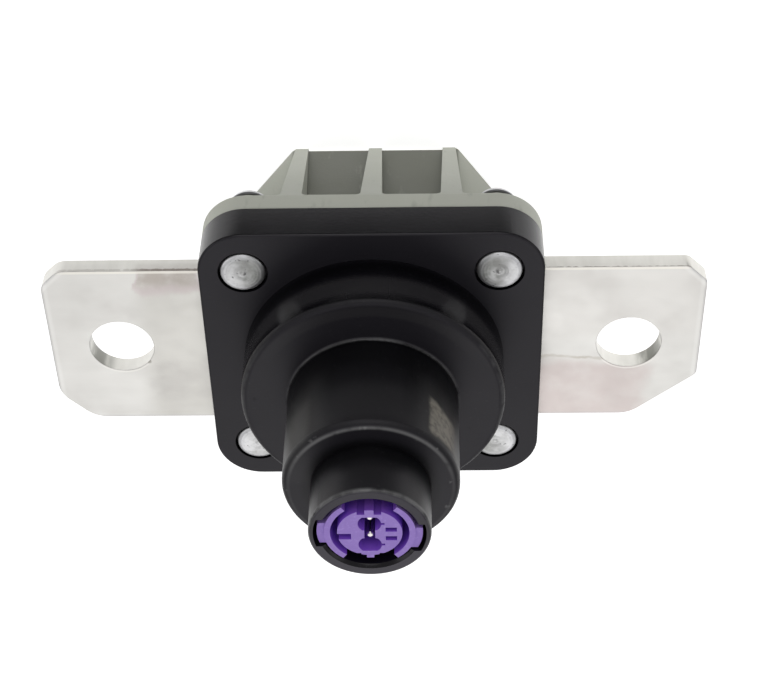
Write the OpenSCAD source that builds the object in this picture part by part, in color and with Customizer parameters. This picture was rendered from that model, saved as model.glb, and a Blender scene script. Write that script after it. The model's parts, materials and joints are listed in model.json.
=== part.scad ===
// Pyrotechnic battery fuse: a cutter driven by an igniter shears a notched busbar.
// The nose axis is Z, the busbar runs along X, and the lower housing stands on z = 0.

/* [Flanges] */
// Width of both housing flanges, along the busbar
flange_w = 44; // [43:0.5:46]
// Length of both housing flanges, across the busbar
flange_l = 42; // [41.5:0.5:45]
// Corner radius of the flanges
flange_r = 6; // [4:0.5:7]
// Thickness of the upper housing's flange
upper_flange_t = 5.5; // [5.4:0.1:7]
// Thickness of the lower housing's flange
lower_flange_t = 3; // [2.8:0.1:4]
// Rounding of the outer edges of both flanges
edge_r = 0.3; // [0.2:0.1:0.8]

/* [Nose] */
// Radius of the wide shoulder on the upper flange
shoulder_r = 17; // [16:0.25:18]
// Height of the shoulder above the flange
shoulder_h = 8.2; // [6:0.2:10]
// Rounding of the shoulder's top edge
shoulder_edge_r = 0.8; // [0.4:0.1:1.2]
// Radius of the barrel above the shoulder
barrel_r = 10.95; // [10.25:0.05:13]
// Height of the barrel above the shoulder
barrel_h = 15.2; // [14:0.2:18]
// Rounding of the barrel's top edge
barrel_edge_r = 1; // [0.5:0.1:2]
// Fillet round the foot of the barrel
barrel_fillet = 0.4; // [0.2:0.1:0.8]
// Outer radius of the plug mouth
mouth_r = 7.4; // [7.2:0.1:8]
// Height of the plug mouth above the barrel
mouth_h = 7.6; // [5:0.2:9]

/* [Plug socket] */
// Radius of the socket bore
socket_r = 5.7; // [5.6:0.05:6]
// Depth of the socket bore
socket_depth = 11.5; // [10.5:0.5:12]
// Thickness of the web under the socket
web_t = 1.6; // [1.2:0.1:2]
// Reach of the two ear recesses from the nose axis
ear_reach = 6.8; // [6.6:0.05:6.9]
// Width of the ear recesses
ear_w = 4.6; // [3.6:0.1:4.8]
// Depth of the ear recesses below the mouth
ear_depth = 4.5; // [3:0.5:6]
// Offset of the right ear and its recess towards the front, which keys the retainer
ear_offset = 0.9; // [0:0.1:1]

/* [Plug retainer] */
// Gap around the retainer in the socket bore
retainer_gap = 0.2; // [0.1:0.05:0.3]
// Wall of the retainer's outer ring
ring_t = 0.75; // [0.6:0.05:0.9]
// Radius of the retainer's centre island
island_r = 3.9; // [3.7:0.1:4.1]
// Thickness of the retainer's base
retainer_base_t = 2.6; // [2:0.2:3.4]
// Depth of the ring's rim below the mouth
ring_inset = 0.2; // [0.1:0.1:1]
// Depth of the island's face below the mouth
island_inset = 0.2; // [0.1:0.1:0.6]
// Half angle of the ring's two openings, in degrees
ring_open = 37; // [30:1:42]

/* [Igniter] */
// Diameter of the two contact pins
pin_d = 1; // [0.8:0.05:1.1]
// Distance between the contact pins
pin_pitch = 3; // [2.6:0.1:3.1]
// Depth of the pin tips below the mouth
pin_inset = 1.2; // [0.8:0.2:3]
// Height of the igniter holder under the web
holder_h = 5; // [4.6:0.2:6]
// Radius of the holder's pin boss, which passes the web
boss_r = 4.1; // [3.9:0.1:4.6]
// Radius of the igniter's steel header
header_r = 3.9; // [3.85:0.05:4.2]
// Height of the header's flange
header_h = 2.1; // [1.8:0.1:2.4]
// Height of the header's spigot inside the can
spigot_h = 1; // [0.8:0.1:1.3]
// Radius of the glass seal round the signal pin
glass_r = 1.2; // [1:0.05:1.3]
// Outer radius of the charge can
can_r = 3.7; // [3.5:0.05:3.8]
// Wall of the charge can
can_t = 0.25; // [0.2:0.05:0.35]
// Length of the charge can
can_l = 5.3; // [4.5:0.1:5.8]
// Thickness of the lock ring under the holder
lock_t = 1.2; // [1:0.1:1.6]
// Inner radius of the lock ring
lock_in_r = 5.5; // [5:0.1:6.2]

/* [Piston] */
// Radius of the cylinder bore in the upper housing
bore_r = 8; // [7.9:0.05:8.4]
// Running gap between piston and bore
piston_gap = 0.05; // [0.03:0.01:0.08]
// Height of the piston's crown
crown_h = 4.5; // [4.2:0.1:5.5]
// Depth of the crown's hollow under the can
hollow_d = 2.4; // [1.8:0.1:2.6]
// Radius of the crown's hollow
hollow_r = 4.6; // [4.2:0.1:5]
// Gap between the can and the crown's hollow
can_gap = 0.5; // [0.3:0.1:0.8]
// Length of the punch along the busbar, which is the piece that it cuts out
punch_l = 9.6; // [8:0.2:9.8]
// Gap between the punch at rest and the busbar
free_gap = 1; // [0.6:0.1:1.4]
// Gap of the punch in its guide and in the die, on each side
punch_gap = 0.1; // [0.05:0.01:0.15]

/* [Seals] */
// Cord thickness of the two O-rings
o_ring_d = 1.4; // [1.2:0.05:1.5]
// Width of the flat seals
seal_w = 1.6; // [1.2:0.1:1.8]
// Height of the flat seals
seal_h = 1; // [0.8:0.1:1.2]
// Distance of the seals from the middle, along the busbar
seal_x = 12; // [11.5:0.1:12.5]

/* [Busbar] */
// Length of the busbar from end to end
bar_l = 86.4; // [80:0.2:96]
// Width of the busbar
bar_w = 25.8; // [25:0.2:26]
// Thickness of the busbar
bar_t = 2.4; // [2:0.1:2.6]
// Diameter of the two bolt holes
bolt_hole_d = 8.6; // [6.4:0.1:9]
// Distance between the two bolt holes
bolt_pitch = 67.5; // [64:0.5:70]
// Width of the bridge that is cut
bridge_w = 12; // [10:0.2:12]
// Length of the side notches beside the bridge
notch_l = 11.4; // [11:0.2:13]
// Depth of the two shear grooves under the bridge
groove_d = 0.9; // [0.5:0.1:1.2]
// Width of the shear grooves
groove_w = 0.8; // [0.5:0.1:1]
// Small chamfer at the two back corners of the busbar
tab_chamfer = 2.4; // [1.5:0.1:3.5]
// Rounding of the busbar's crisp corners
tab_r = 1.2; // [0.6:0.1:1.6]
// Rounding of the back left chamfer, which is worn more
worn_r = 2.4; // [1:0.1:2.5]
// Corner cut at the front left of the busbar
left_cut = 4.4; // [3:0.2:6]
// Rounding of the corner cut and of the inner end of the keying cut
cut_r = 4; // [1.5:0.1:4.2]
// Keying cut at the front right of the busbar, along its length
right_cut_x = 8.6; // [6:0.2:10]
// Keying cut at the front right of the busbar, across its width
right_cut_y = 7.2; // [5:0.2:9]

/* [Lower housing] */
// Height of the chamber block under the flange
cup_h = 22.9; // [18:0.1:26]
// Width of the chamber block, along the busbar
block_w = 22.4; // [21.6:0.2:24]
// Distance of the chamber block's sides inside the busbar's long sides
block_inset = 1.1; // [1.1:0.1:1.4]
// Thickness of the gusset ribs at the flange
rib_t = 2.8; // [2.2:0.2:3.2]
// Thickness of the gusset ribs at their foot
rib_foot_t = 1.8; // [1.4:0.2:2.2]
// Height of the ribs over the block at their foot
rib_lift = 0.2; // [0.1:0.1:0.6]
// Rounding of the ribs at their foot
rib_foot_r = 1.2; // [0.6:0.1:1.6]
// Rounding of the block's lower edge
foot_edge_r = 0.8; // [0.3:0.1:1]
// Fillet between the ribs and the flange
rib_fillet = 0.8; // [0.3:0.1:1]
// Thickness of the chamber's floor
floor_t = 3; // [2:0.2:4]
// Wall between the chamber and the outside of the block
chamber_wall = 3.2; // [2.6:0.1:3.6]
// Thickness of the stop pad on the chamber's floor
pad_t = 5; // [3:0.5:7]
// Thickness of the steel cutting die
die_t = 2; // [1.6:0.1:2.2]
// Thickness of the punch guide over the busbar
guide_t = 2; // [1.6:0.1:2.4]
// Width of the die and the guide, along the busbar
die_w = 18; // [17:0.2:19]
// Length of the die and the guide, across the busbar
die_l = 20; // [17:0.2:21]

/* [Rivets] */
// Distance between the rivets along the busbar
rivet_pitch_x = 32.5; // [32:0.1:33]
// Gap between the rivet shanks and the busbar's long sides
rivet_gap = 0.3; // [0.2:0.05:0.6]
// Diameter of the rivet shanks
shank_d = 3.6; // [3:0.1:4.2]
// Diameter of the formed heads on the upper side
head_d = 5.8; // [5:0.1:6]
// Height of the formed heads
head_h = 1.5; // [1.2:0.1:1.8]
// Diameter of the recesses round the formed heads
recess_d = 6.4; // [6.3:0.1:7.2]
// Depth of the recesses
recess_h = 1.3; // [1:0.1:1.6]
// Diameter of the factory heads under the lower housing
back_head_d = 5.6; // [5:0.1:5.6]
// Height of the factory heads
back_head_h = 1.1; // [0.7:0.1:1.3]
// Height of the rivet bosses under the lower flange
boss_h = 4.6; // [2:0.2:5]
// Diameter of the rivet bosses
boss_d = 5; // [4.8:0.1:5.2]

/* [Hidden] */
$fn = 64;

// Overlap that makes cuts run clear through a face
cut = 1;
// Gap between pieces that are assembled by hand and then stay still
fit = 0.05;
// Gap of a press fit, taken up by the real pieces' interference
press = 0.02;

// Heights of the levels, from the foot of the lower housing
split_z = cup_h + lower_flange_t;
bar_top = split_z + bar_t;
face_z = split_z + upper_flange_t;
shoulder_z = face_z + shoulder_h;
barrel_z = shoulder_z + barrel_h;
tip_z = barrel_z + mouth_h;
socket_z = tip_z - socket_depth;
web_z = socket_z - web_t;
holder_z = web_z - holder_h;
lock_z = holder_z - lock_t;
header_top = web_z - 1.4;
header_z = header_top - header_h;
can_z = header_z - can_l;
hollow_z = can_z - can_gap;
crown_top = hollow_z + hollow_d;
crown_z = crown_top - crown_h;
punch_z = bar_top + free_gap;
guide_top = bar_top + guide_t;
pin_tip = tip_z - pin_inset;

// The rivets stand just beside the busbar
rivet_pitch_y = bar_w + shank_d + 2 * rivet_gap;

// The punch is a little wider than the bridge that it cuts
punch_w = bridge_w + 0.6;
piston_r = bore_r - piston_gap;
groove_r = bore_r - o_ring_d;
groove_h = o_ring_d + 0.1;
holder_groove_z = header_z + 0.3;
piston_groove_z = crown_z + 0.5;

// Chamber and seals
block_l = bar_w - 2 * block_inset;
chamber_w = block_w - 2 * chamber_wall;
chamber_l = block_l - 2 * chamber_wall;
seal_y = bar_w / 2 + 1;
post_d = 3.2;
post_x = rivet_pitch_x / 2;
post_h = bar_t * 0.8;

// Retainer
retainer_r = socket_r - retainer_gap;
ring_in_r = retainer_r - ring_t;
ring_top = tip_z - ring_inset;
island_top = tip_z - island_inset;
deck_z = socket_z + retainer_base_t;
ear_t = ear_reach - 0.45;
ear_y = 0.2;
ear_seat = 0.35;
lobe_r = 1.4;
lobe_half = 1.1;
lobe_y = pin_pitch / 2 + 0.3;
lobe_shift = 0.25;
slot_w = 0.7;
face_t = 3;
clip_t = 0.3;
clip_x = 2.2;
clip_l = pin_pitch + 1;
clip_h = 3.6;
finger_w = 0.8;

// Square of four places, for rivets, bosses and their holes
module at_rivets() {
    for (sx = [-1, 1], sy = [-1, 1])
        translate([sx * rivet_pitch_x / 2, sy * rivet_pitch_y / 2, 0]) children();
}

// Rectangle with round corners, centred
module round_rect(w, l, r) {
    square([w - 2 * r, l], center = true);
    square([w, l - 2 * r], center = true);
    for (sx = [-1, 1], sy = [-1, 1])
        translate([sx * (w / 2 - r), sy * (l / 2 - r)]) circle(r);
}

// Half section of a plate's edge: r deep and t high, its top outer corner rounded by e
module edge_section(r, t, e) {
    square([r - e, t]);
    square([r, t - e]);
    translate([r - e, t - e]) circle(e);
}

// Plate with round corners and a rounded top edge, standing on z = 0
module edged_plate(w, l, r, t, e) {
    translate([r - w / 2, r - l / 2, 0]) cube([w - 2 * r, l - 2 * r, t]);
    for (sx = [-1, 1], sy = [-1, 1])
        translate([sx * (w / 2 - r), sy * (l / 2 - r), 0])
            rotate_extrude() intersection() {
                edge_section(r, t, e);
                square([r, t]);
            }
    for (side = [0, 180]) rotate([0, 0, side]) {
        translate([w / 2 - r, l / 2 - r, 0]) rotate([90, 0, 0])
            linear_extrude(l - 2 * r) edge_section(r, t, e);
        translate([r - w / 2, l / 2 - r, 0]) rotate([90, 0, 90])
            linear_extrude(w - 2 * r) edge_section(r, t, e);
    }
}

// Step of the nose: a disc with a rounded top edge
module nose_step(r, h, e) {
    rotate_extrude() intersection() {
        edge_section(r, h, e);
        square([r, h]);
    }
}

// Hollow fillet round the foot of a step of the nose
module foot_fillet(r, e) {
    rotate_extrude() difference() {
        translate([r - cut, -cut]) square(e + cut);
        translate([r + e, e]) circle(e, $fn = 24);
    }
}

// O-ring that fills its groove and just reaches the bore
module o_ring(floor_r, z) {
    cord_r = (bore_r - press - floor_r) / 2;
    translate([0, 0, z + groove_h / 2])
        rotate_extrude() translate([floor_r + cord_r, 0]) circle(cord_r, $fn = 32);
}

// Ring-shaped groove cut from a cylinder of the cylinder bore's size
module o_ring_groove(z) {
    translate([0, 0, z]) difference() {
        cylinder(r = bore_r + cut, h = groove_h);
        translate([0, 0, -cut]) cylinder(r = groove_r, h = groove_h + 2 * cut);
    }
}

// Moulded black cover: flange, stepped nose and plug socket
module upper_housing() {
    color([0.09, 0.09, 0.1]) difference() {
        union() {
            translate([0, 0, split_z])
                edged_plate(flange_w, flange_l, flange_r, upper_flange_t, edge_r);
            translate([0, 0, face_z - cut]) nose_step(shoulder_r, shoulder_h + cut, shoulder_edge_r);
            translate([0, 0, face_z]) nose_step(barrel_r, barrel_z - face_z, barrel_edge_r);
            translate([0, 0, shoulder_z]) foot_fillet(barrel_r, barrel_fillet);
            translate([0, 0, face_z]) nose_step(mouth_r, tip_z - face_z, 0.4);
        }
        // Slot that holds the busbar flush with the split
        translate([-flange_w / 2 - cut, -bar_w / 2 - fit, split_z - cut])
            cube([flange_w + 2 * cut, bar_w + 2 * fit, bar_t + fit + cut]);
        guide_pocket();
        slot_seal_grooves();
        core_pockets();
        // Cylinder bore, web opening and socket
        translate([0, 0, bar_top]) cylinder(r = bore_r, h = web_z - bar_top);
        translate([0, 0, web_z - cut]) cylinder(r = boss_r + fit, h = web_t + 2 * cut);
        translate([0, 0, socket_z]) cylinder(r = socket_r, h = socket_depth + cut);
        translate([0, 0, tip_z - 0.4]) cylinder(r1 = socket_r, r2 = socket_r + 0.6, h = 0.6);
        ear_recesses();
        at_rivets() {
            translate([0, 0, split_z - cut]) cylinder(d = shank_d, h = upper_flange_t + 2 * cut);
            translate([0, 0, face_z - recess_h]) cylinder(d = recess_d, h = recess_h + cut);
        }
    }
}

// Pocket over the busbar in which the punch guide is held
module guide_pocket() {
    translate([-die_w / 2 - fit, -die_l / 2 - fit, split_z - cut])
        cube([die_w + 2 * fit, die_l + 2 * fit, guide_top - split_z + cut]);
}

// Two grooves in the roof of the busbar slot
module slot_seal_grooves() {
    for (sx = [-1, 1])
        translate([sx * seal_x - seal_w / 2, -bar_w / 2 - fit, bar_top - cut])
            cube([seal_w, bar_w + 2 * fit, seal_h + cut]);
}

// Core pockets that keep the shoulder's walls even, open at the split
module core_pockets() {
    inner_r = bore_r + 2.6;
    outer_r = bar_w / 2 - 0.4;
    for (side = [0, 180]) rotate([0, 0, side])
        translate([0, 0, split_z - cut]) difference() {
            cylinder(r = outer_r, h = shoulder_z - split_z - 2.5 + cut);
            translate([0, 0, -cut]) cylinder(r = inner_r, h = shoulder_z);
            translate([-outer_r - cut, -outer_r - cut, -cut])
                cube([2 * (outer_r + cut), outer_r + cut + die_l * 0.4, shoulder_z]);
        }
}

// Outline of both ears or of their recesses: the right one sits more to the front
module ear_outline(reach, w, y) {
    intersection() {
        union() {
            translate([-reach, y - w / 2]) square([reach, w]);
            translate([0, y - w / 2 - ear_offset]) square([reach, w]);
        }
        circle(reach);
    }
}

// Recesses on both sides of the socket for the retainer's ears
module ear_recesses() {
    translate([0, 0, tip_z - ear_depth])
        linear_extrude(ear_depth + cut) ear_outline(ear_reach, ear_w, ear_y);
}

// One gusset rib in the XZ plane: it reaches out from the block's foot to the flange's side,
// and its thickness has the draft that lets the mould draw off
module gusset(block_half, flange_half) {
    foot = block_half + rib_lift;
    head = flange_half - edge_r * 0.15;
    top = cup_h + edge_r;
    intersection() {
        rotate([90, 0, 0]) translate([0, 0, -rib_t]) linear_extrude(2 * rib_t)
            polygon([
                each corner_arc([0, 0], [foot, 0], [head, top], rib_foot_r),
                [head, top], [block_half - cut, top]
            ]);
        rotate([90, 0, 90]) linear_extrude(flange_half) {
            polygon([
                [-rib_foot_t / 2, 0], [rib_foot_t / 2, 0], [rib_t / 2, top], [-rib_t / 2, top]
            ]);
            difference() {
                translate([-rib_t / 2 - rib_fillet, cup_h - rib_fillet])
                    square([rib_t + 2 * rib_fillet, top - cup_h + rib_fillet]);
                for (side = [-1, 1])
                    translate([side * (rib_t / 2 + rib_fillet), cup_h - rib_fillet])
                        circle(rib_fillet, $fn = 24);
            }
        }
    }
}

// Moulded grey cup: chamber block, gusset ribs, flange and rivet bosses
module lower_housing() {
    color([0.6, 0.6, 0.57]) difference() {
        union() {
            translate([0, 0, split_z]) mirror([0, 0, 1])
                edged_plate(flange_w, flange_l, flange_r, lower_flange_t, edge_r);
            translate([0, 0, split_z - cut]) mirror([0, 0, 1])
                edged_plate(block_w, block_l, 1.5, split_z - cut, foot_edge_r);
            for (side = [0, 180]) rotate([0, 0, side]) {
                for (y = [-1, 0, 1])
                    translate([0, y * (block_l - rib_foot_t) / 2, 0])
                        gusset(block_w / 2, flange_w / 2);
                for (x = [-1, 0, 1])
                    translate([x * (block_w - rib_foot_t) / 2, 0, 0]) rotate([0, 0, 90])
                        gusset(block_l / 2, flange_l / 2);
            }
            at_rivets() translate([0, 0, cup_h - boss_h])
                cylinder(d = boss_d, h = boss_h + edge_r);
            // Posts that hold the busbar by its locating holes
            for (sx = [-1, 1]) translate([sx * post_x, 0, cup_h])
                cylinder(d = post_d, h = lower_flange_t + post_h);
        }
        // Chamber that takes the cut-out piece
        translate([0, 0, floor_t])
            linear_extrude(split_z) round_rect(chamber_w, chamber_l, 2);
        translate([-die_w / 2 - fit, -die_l / 2 - fit, split_z - die_t])
            cube([die_w + 2 * fit, die_l + 2 * fit, die_t + cut]);
        translate([0, 0, split_z - seal_h]) linear_extrude(seal_h + cut) seal_path(fit / 2);
        at_rivets() translate([0, 0, cup_h - boss_h - cut])
            cylinder(d = shank_d, h = split_z);
        // Round spot where the plastic was injected
        translate([0, 0, -cut]) cylinder(d = 5, h = cut + 0.4);
    }
}

// Outline of the seal round the chamber, widened on both sides by a gap
module seal_path(gap) {
    w = 2 * seal_x + seal_w;
    l = 2 * seal_y + seal_w;
    difference() {
        round_rect(w + 2 * gap, l + 2 * gap, 3);
        round_rect(w - 2 * seal_w - 2 * gap, l - 2 * seal_w - 2 * gap, 3 - seal_w);
    }
}

// Arc points that round the corner at b between the sides a-b and b-c
function corner_arc(a, b, c, r) =
    let (u = (a - b) / norm(a - b), v = (c - b) / norm(c - b),
         half = acos(u * v) / 2, mid = (u + v) / norm(u + v),
         centre = b + mid * r / sin(half),
         from = b + u * r / tan(half) - centre,
         turn = 180 - 2 * half,
         spin = sign(u[0] * v[1] - u[1] * v[0]))
    [for (k = [0:5]) centre + [
        from[0] * cos(spin * turn * k / 5) + from[1] * sin(spin * turn * k / 5),
        from[1] * cos(spin * turn * k / 5) - from[0] * sin(spin * turn * k / 5)]];

// Corners of the busbar: small chamfers behind, a corner cut and a keying cut in front
function bar_corners() =
    let (x = bar_l / 2, y = bar_w / 2)
    [
        [-x, -y + left_cut], [-x + left_cut, -y], [x - right_cut_x, -y], [x, -y + right_cut_y],
        [x, y - tab_chamfer], [x - tab_chamfer, y], [-x + tab_chamfer, y], [-x, y - tab_chamfer]
    ];

// Rounding of each of those corners
function bar_roundings() = [cut_r, cut_r, cut_r, tab_r, tab_r, tab_r, worn_r, worn_r];

// Plated copper bar with its bolt holes, side notches and shear grooves
module busbar() {
    corners = bar_corners();
    count = len(corners);
    color([0.8, 0.78, 0.74]) translate([0, 0, split_z]) difference() {
        linear_extrude(bar_t) polygon([
            for (k = [0 : count - 1])
                each corner_arc(corners[(k + count - 1) % count], corners[k],
                                corners[(k + 1) % count], bar_roundings()[k])
        ]);
        for (sx = [-1, 1]) {
            translate([sx * bolt_pitch / 2, 0, -cut]) cylinder(d = bolt_hole_d, h = bar_t + 2 * cut);
            translate([sx * post_x, 0, -cut]) cylinder(d = post_d + 2 * fit, h = bar_t + 2 * cut);
            translate([sx * punch_l / 2 - groove_w / 2, -bar_w / 2, -cut])
                cube([groove_w, bar_w, groove_d + cut]);
        }
        for (sy = [-1, 1]) translate([0, sy * (bridge_w + bar_w) / 2, -cut])
            linear_extrude(bar_t + 2 * cut) round_rect(notch_l, bar_w, 1.2);
    }
}

// Four aluminium rivets: formed heads above, factory heads below
module rivets() {
    color([0.72, 0.72, 0.72]) at_rivets() {
        foot = cup_h - boss_h;
        translate([0, 0, foot]) cylinder(d = shank_d, h = face_z - recess_h - foot);
        translate([0, 0, foot - back_head_h]) cylinder(d = back_head_d, h = back_head_h);
        translate([0, 0, face_z - recess_h]) {
            difference() {
                nose_step(head_d / 2, head_h, 0.45);
                translate([0, 0, head_h - 0.12]) difference() {
                    cylinder(d = head_d * 0.36, h = cut);
                    translate([0, 0, -cut]) cylinder(d = head_d * 0.15, h = 3 * cut);
                }
            }
        }
    }
}

// Punch guide: fills the side notches of the bar and steers the punch
module punch_guide() {
    lug_l = notch_l - 4 * fit;
    lug_y = bridge_w / 2 + 0.3;
    color([0.85, 0.83, 0.75]) difference() {
        union() {
            translate([-die_w / 2, -die_l / 2, bar_top]) cube([die_w, die_l, guide_t]);
            for (side = [0, 180]) rotate([0, 0, side])
                translate([0, (lug_y + die_l / 2) / 2, split_z])
                    linear_extrude(bar_t + guide_t)
                        round_rect(lug_l, die_l / 2 - lug_y, 1);
        }
        punch_opening();
    }
}

// Steel die under the busbar against which the bridge is sheared
module cutting_die() {
    color([0.55, 0.56, 0.58]) difference() {
        translate([-die_w / 2, -die_l / 2, split_z - die_t]) cube([die_w, die_l, die_t]);
        punch_opening();
    }
}

// Opening of the guide and the die, a running fit round the punch
module punch_opening() {
    w = punch_l + 2 * punch_gap;
    l = punch_w + 2 * punch_gap;
    translate([-w / 2, -l / 2, 0]) cube([w, l, tip_z]);
}

// Rubber pad that stops the piston and the cut-out piece
module stop_pad() {
    color([0.2, 0.2, 0.2]) translate([0, 0, floor_t])
        linear_extrude(pad_t) round_rect(chamber_w - 2 * fit, chamber_l - 2 * fit, 2);
}

// Flat seal round the chamber, under the busbar and the upper housing
module perimeter_seal() {
    color([0.55, 0.2, 0.15]) translate([0, 0, split_z - seal_h]) linear_extrude(seal_h) seal_path(0);
}

// Seal strip over the busbar, on the side that sx gives
module slot_seal(sx) {
    translate([sx * seal_x - seal_w / 2 + fit, -bar_w / 2, bar_top])
        cube([seal_w - 2 * fit, bar_w, seal_h]);
}
module left_slot_seal() { color([0.55, 0.2, 0.15]) slot_seal(-1); }
module right_slot_seal() { color([0.55, 0.2, 0.15]) slot_seal(1); }

// Moulded piston: a sealed round crown with a rectangular punch under it
module piston() {
    color([0.9, 0.88, 0.8]) difference() {
        union() {
            translate([0, 0, crown_z]) cylinder(r = piston_r, h = crown_h);
            translate([-punch_l / 2, -punch_w / 2, punch_z])
                cube([punch_l, punch_w, crown_z - punch_z + cut]);
        }
        translate([0, 0, hollow_z]) cylinder(r = hollow_r, h = crown_h);
        o_ring_groove(piston_groove_z);
        // Relief under the punch, so that its ends cut first
        translate([-punch_l / 2 + 2, -punch_w / 2 - cut, punch_z - cut])
            cube([punch_l - 4, punch_w + 2 * cut, cut + 0.8]);
    }
}
module piston_o_ring() { color([0.12, 0.12, 0.12]) o_ring(groove_r, piston_groove_z); }

// Moulded holder that seats the igniter against the web
module igniter_holder() {
    color([0.16, 0.16, 0.17]) difference() {
        union() {
            translate([0, 0, holder_z]) cylinder(r = bore_r - fit, h = holder_h);
            translate([0, 0, holder_z]) cylinder(r = boss_r, h = holder_h + web_t);
        }
        o_ring_groove(holder_groove_z);
        translate([0, 0, header_z]) cylinder(r = header_r, h = header_h);
        translate([0, 0, holder_z - cut]) cylinder(r = can_r, h = header_z - holder_z + 2 * cut);
        for (sy = [-1, 1]) translate([0, sy * pin_pitch / 2, header_z]) cylinder(d = pin_d, h = tip_z);
    }
}
module holder_o_ring() { color([0.12, 0.12, 0.12]) o_ring(groove_r, holder_groove_z); }

// Steel ring pressed into the bore, which locks the holder in its seat
module lock_ring() {
    color([0.66, 0.67, 0.68]) translate([0, 0, lock_z]) difference() {
        cylinder(r = bore_r - press, h = lock_t);
        translate([0, 0, -cut]) cylinder(r = lock_in_r, h = lock_t + 2 * cut);
    }
}

// Turned steel header with a spigot for the can and a bore for the glass
module igniter_header() {
    color([0.7, 0.7, 0.7]) difference() {
        union() {
            translate([0, 0, header_z]) cylinder(r = header_r, h = header_h);
            translate([0, 0, header_z - spigot_h]) cylinder(r = can_r - can_t, h = spigot_h);
        }
        translate([0, pin_pitch / 2, header_z - spigot_h - cut])
            cylinder(r = glass_r, h = header_h + spigot_h + 2 * cut);
    }
}

// Glass that seals the signal pin in the header
module glass_seal() {
    color([0.3, 0.5, 0.45]) translate([0, pin_pitch / 2, header_z - spigot_h]) difference() {
        cylinder(r = glass_r, h = header_h + spigot_h);
        translate([0, 0, -cut]) cylinder(d = pin_d, h = header_h + spigot_h + 2 * cut);
    }
}

// Contact pin with a rounded tip, from its foot to the tips' level
module contact_pin(y, foot) {
    color([0.85, 0.75, 0.5]) translate([0, y, foot])
        nose_step(pin_d / 2, pin_tip - foot, pin_d * 0.3);
}
module signal_pin() { contact_pin(pin_pitch / 2, header_z - spigot_h); }
module return_pin() { contact_pin(-pin_pitch / 2, header_top); }

// Drawn steel can that holds the charge
module charge_can() {
    color([0.75, 0.75, 0.75]) translate([0, 0, can_z]) difference() {
        cylinder(r = can_r, h = can_l);
        translate([0, 0, can_t]) cylinder(r = can_r - can_t, h = can_l);
    }
}

// Pressed gas-generating charge
module charge() {
    color([0.35, 0.33, 0.3]) translate([0, 0, can_z + can_t])
        cylinder(r = can_r - can_t - fit, h = can_l - can_t - spigot_h - fit);
}

// Outline of the two pin wells, their joining slot and the fine slits beside them
module pin_wells() {
    for (sy = [-1, 1]) translate([0, sy * lobe_y - lobe_shift]) {
        intersection() {
            circle(lobe_r);
            square([2 * lobe_r, 2 * lobe_half], center = true);
        }
        translate([lobe_r - 0.3, -0.15]) square([0.7, 0.3]);
    }
    square([pin_d + 0.3, 2 * lobe_y], center = true);
}

// Outline of the island's face: teeth at the back, a tab in front, slots on both sides
module island_face() {
    difference() {
        union() {
            circle(island_r);
            translate([-0.45, -island_r - 0.45]) square([0.9, 1]);
        }
        for (x = [-1, 1]) translate([x - 0.45, island_r - 0.75]) square([0.9, 1]);
        for (sx = [-1, 1]) translate([sx * 1.5 - 0.4, -island_r - 0.1]) square([0.8, 0.45]);
        translate([-island_r - cut, -1.1]) square([cut + 1.65, 0.95]);
        for (y = [-1.3, 0.2]) translate([1.9, y]) square([1.35, slot_w]);
    }
}

// Coloured plug retainer: base, outer ring in two arcs with ears, and slotted island
module plug_retainer() {
    color([0.5, 0.38, 0.72]) difference() {
        union() {
            translate([0, 0, socket_z]) cylinder(r = retainer_r, h = retainer_base_t);
            translate([0, 0, deck_z - cut]) difference() {
                cylinder(r = retainer_r, h = ring_top - deck_z + cut);
                translate([0, 0, -cut]) cylinder(r = ring_in_r, h = socket_depth + cut);
                for (side = [-90, 90]) rotate([0, 0, side]) translate([0, 0, cut])
                    linear_extrude(socket_depth) polygon([
                        [0, 0], [2 * socket_r, -2 * socket_r * tan(ring_open)],
                        [2 * socket_r, 2 * socket_r * tan(ring_open)]
                    ]);
            }
            translate([0, 0, deck_z - cut])
                linear_extrude(island_top - face_t - deck_z + cut) circle(island_r - 0.2);
            translate([0, 0, island_top - face_t]) linear_extrude(face_t) island_face();
            retainer_ears();
        }
        translate([0, 0, deck_z]) linear_extrude(socket_depth) pin_wells();
        translate([0, 0, socket_z - cut]) for (sy = [-1, 1])
            translate([0, sy * pin_pitch / 2, 0]) cylinder(d = pin_d + 0.1, h = socket_depth);
        // Cavity of the shorting clip, open towards the wells
        translate([0, -clip_l / 2 - fit, deck_z])
            cube([clip_x + clip_t + fit, clip_l + 2 * fit, clip_h + 2 * fit]);
    }
}

// Two ears that lock against the front sides of the mouth's recesses
module retainer_ears() {
    ear_h = 2.3;
    translate([0, 0, ring_top - 0.2 - ear_h]) linear_extrude(ear_h) difference() {
        ear_outline(ear_t, ear_w - 1.2, ear_y - ear_seat);
        circle(retainer_r - 0.3);
    }
}

// Folded spring strip that joins the two pins until a plug is pushed in
module shorting_clip() {
    color([0.8, 0.7, 0.4]) translate([0, 0, deck_z]) {
        translate([clip_x, -clip_l / 2, 0]) cube([clip_t, clip_l, clip_h]);
        for (sy = [-1, 1])
            translate([pin_d / 2 + fit, sy * pin_pitch / 2 - finger_w / 2, clip_h - clip_t])
                cube([clip_x - pin_d / 2, finger_w, clip_t]);
    }
}

lower_housing();
upper_housing();
busbar();
rivets();
plug_retainer();
shorting_clip();
signal_pin();
return_pin();
igniter_holder();
igniter_header();
glass_seal();
charge_can();
charge();
holder_o_ring();
lock_ring();
piston();
piston_o_ring();
punch_guide();
cutting_die();
stop_pad();
perimeter_seal();
left_slot_seal();
right_slot_seal();
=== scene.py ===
# Pyrotechnic battery fuse: the looks of every piece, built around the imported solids.
# Sizes are in metres. The nose axis is Z, the busbar runs along X and the foot stands on Z = 0.
# In the comments left is -X, front is -Y and back is +Y.
import json
import math

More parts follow.
